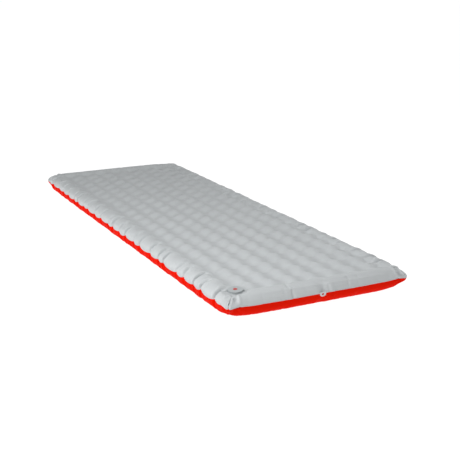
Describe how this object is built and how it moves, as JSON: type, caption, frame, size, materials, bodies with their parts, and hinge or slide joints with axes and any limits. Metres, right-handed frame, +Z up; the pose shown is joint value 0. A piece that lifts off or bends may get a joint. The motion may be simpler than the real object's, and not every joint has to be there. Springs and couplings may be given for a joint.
{
  "type": "inflatable sleeping pad",
  "caption": "Rectangular dimpled air pad with a light grey top skin, a red-orange bottom skin, a recessed flat valve in one corner and a small hang tab with a hole.",
  "frame": {"origin": "centre of the pad's outline at floor level", "axes": "+X across the pad, +Y along it away from the valve end, +Z up out of the sleeping surface"},
  "size_m": [0.64, 1.8318, 0.0801],
  "materials": {
    "top_skin": "satin coated ripstop nylon, cool light grey",
    "bottom_skin": "satin coated nylon, red-orange",
    "truss_fabric": "coated non-woven strip, off-white",
    "reflective_film": "metallised film, bright silver",
    "valve_grey": "moulded polyurethane, mid grey",
    "valve_soft": "soft polyurethane, light grey",
    "silicone": "silicone, near black",
    "button_red": "moulded plastic, red",
    "tab_fabric": "coated webbing tab, light grey"
  },
  "bodies": {
    "pad": {"top_sheet": "top_skin", "bottom_sheet": "bottom_skin", "truss_01": "truss_fabric", "truss_02": "truss_fabric", "truss_03": "truss_fabric", "truss_04": "truss_fabric", "truss_05": "truss_fabric", "truss_06": "truss_fabric", "truss_07": "truss_fabric", "truss_08": "truss_fabric", "truss_09": "truss_fabric", "truss_10": "truss_fabric", "truss_11": "truss_fabric", "truss_12": "truss_fabric", "truss_13": "truss_fabric", "truss_14": "truss_fabric", "truss_15": "truss_fabric", "truss_16": "truss_fabric", "truss_17": "truss_fabric", "truss_18": "truss_fabric", "truss_19": "truss_fabric", "truss_20": "truss_fabric", "truss_21": "truss_fabric", "truss_22": "truss_fabric", "truss_23": "truss_fabric", "truss_24": "truss_fabric", "film_lower": "reflective_film", "film_upper": "reflective_film", "valve_flange": "valve_soft", "valve_seat": "valve_grey", "tether_anchor": "valve_soft"},
    "plug": {"valve_plug": "valve_grey", "plug_seal": "silicone"},
    "stem": {"release_stem": "button_red", "check_diaphragm": "silicone"},
    "cap": {"valve_cap": "valve_grey", "cap_seal": "silicone"},
    "tab": {"hang_tab": "tab_fabric"}
  },
  "joints": [
    {"name": "plug_hinge", "type": "hinge", "parent": "pad", "child": "plug", "pos_m": [-0.28037, -0.83198, 0.07421], "axis": [-0.4471, -0.8904, -0.0858], "range_deg": [0, 95]},
    {"name": "cap_hinge", "type": "hinge", "parent": "plug", "child": "cap", "pos_m": [-0.23605, -0.85458, 0.07776], "axis": [0.4471, 0.8904, 0.0858], "range_deg": [0, 150]},
    {"name": "stem_slide", "type": "slide", "parent": "plug", "child": "stem", "axis": [0.0523, 0.0697, -0.9962], "range_m": [0, 0.003], "stiffness_N_per_m": 100, "springref_m": -0.0005},
    {"name": "tab_hinge", "type": "hinge", "parent": "pad", "child": "tab", "pos_m": [0, -0.9163, 0.0515], "axis": [-1, 0, 0], "range_deg": [-15, 160]}
  ]
}
